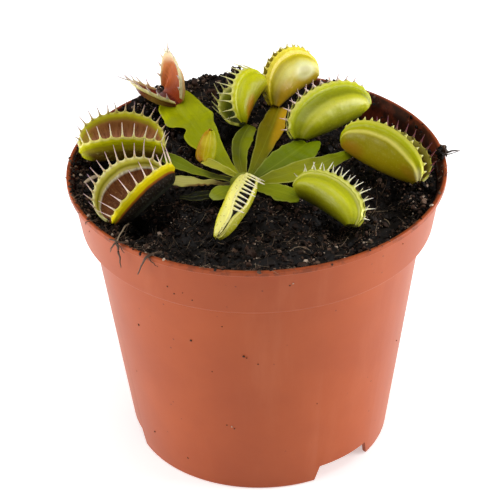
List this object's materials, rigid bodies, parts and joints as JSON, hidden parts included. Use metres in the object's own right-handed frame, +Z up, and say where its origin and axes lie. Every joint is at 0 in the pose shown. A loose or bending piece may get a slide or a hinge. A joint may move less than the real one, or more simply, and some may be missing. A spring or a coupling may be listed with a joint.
{
  "type": "potted venus flytrap",
  "caption": "Venus flytrap rosette of toothed snap traps on leafy stalks, growing in peat in a round tapered plastic nursery pot with a collar.",
  "frame": {"origin": "centre of the pot on the plane its foot ring stands on", "axes": "+Z up along the pot's axis, -Y toward the plant's front, +X to the right seen from the front"},
  "size_m": [0.09, 0.09, 0.0896],
  "materials": {
    "pot_plastic": "satin",
    "peat": "matte",
    "crown_tissue": "matte",
    "trap_green": "satin",
    "trap_yellow": "satin",
    "trap_red": "satin",
    "bud_amber": "satin",
    "petiole_green": "satin",
    "petiole_gold": "satin",
    "withered_leaf": "matte",
    "dead_leaf": "matte"
  },
  "bodies": {
    "root": {"crown": "crown_tissue", "leaf_dead": "dead_leaf", "leaf_small": "petiole_green", "petiole_front": "petiole_green", "petiole_left_lower": "withered_leaf", "petiole_left_upper": "petiole_green", "petiole_rear_centre": "petiole_green", "petiole_rear_left": "petiole_green", "petiole_rear_top": "petiole_gold", "petiole_right": "petiole_green", "petiole_right_front": "petiole_green", "petiole_right_rear": "petiole_green", "petiole_young": "petiole_green", "pot": "pot_plastic", "soil": "peat", "trap_front": "trap_green", "trap_left_lower": "trap_green", "trap_left_upper": "trap_green", "trap_rear_centre": "trap_green", "trap_rear_left": "trap_red", "trap_rear_top": "trap_yellow", "trap_right": "trap_green", "trap_right_front": "trap_green", "trap_right_rear": "trap_green", "trap_young": "bud_amber"}
  },
  "joints": []
}
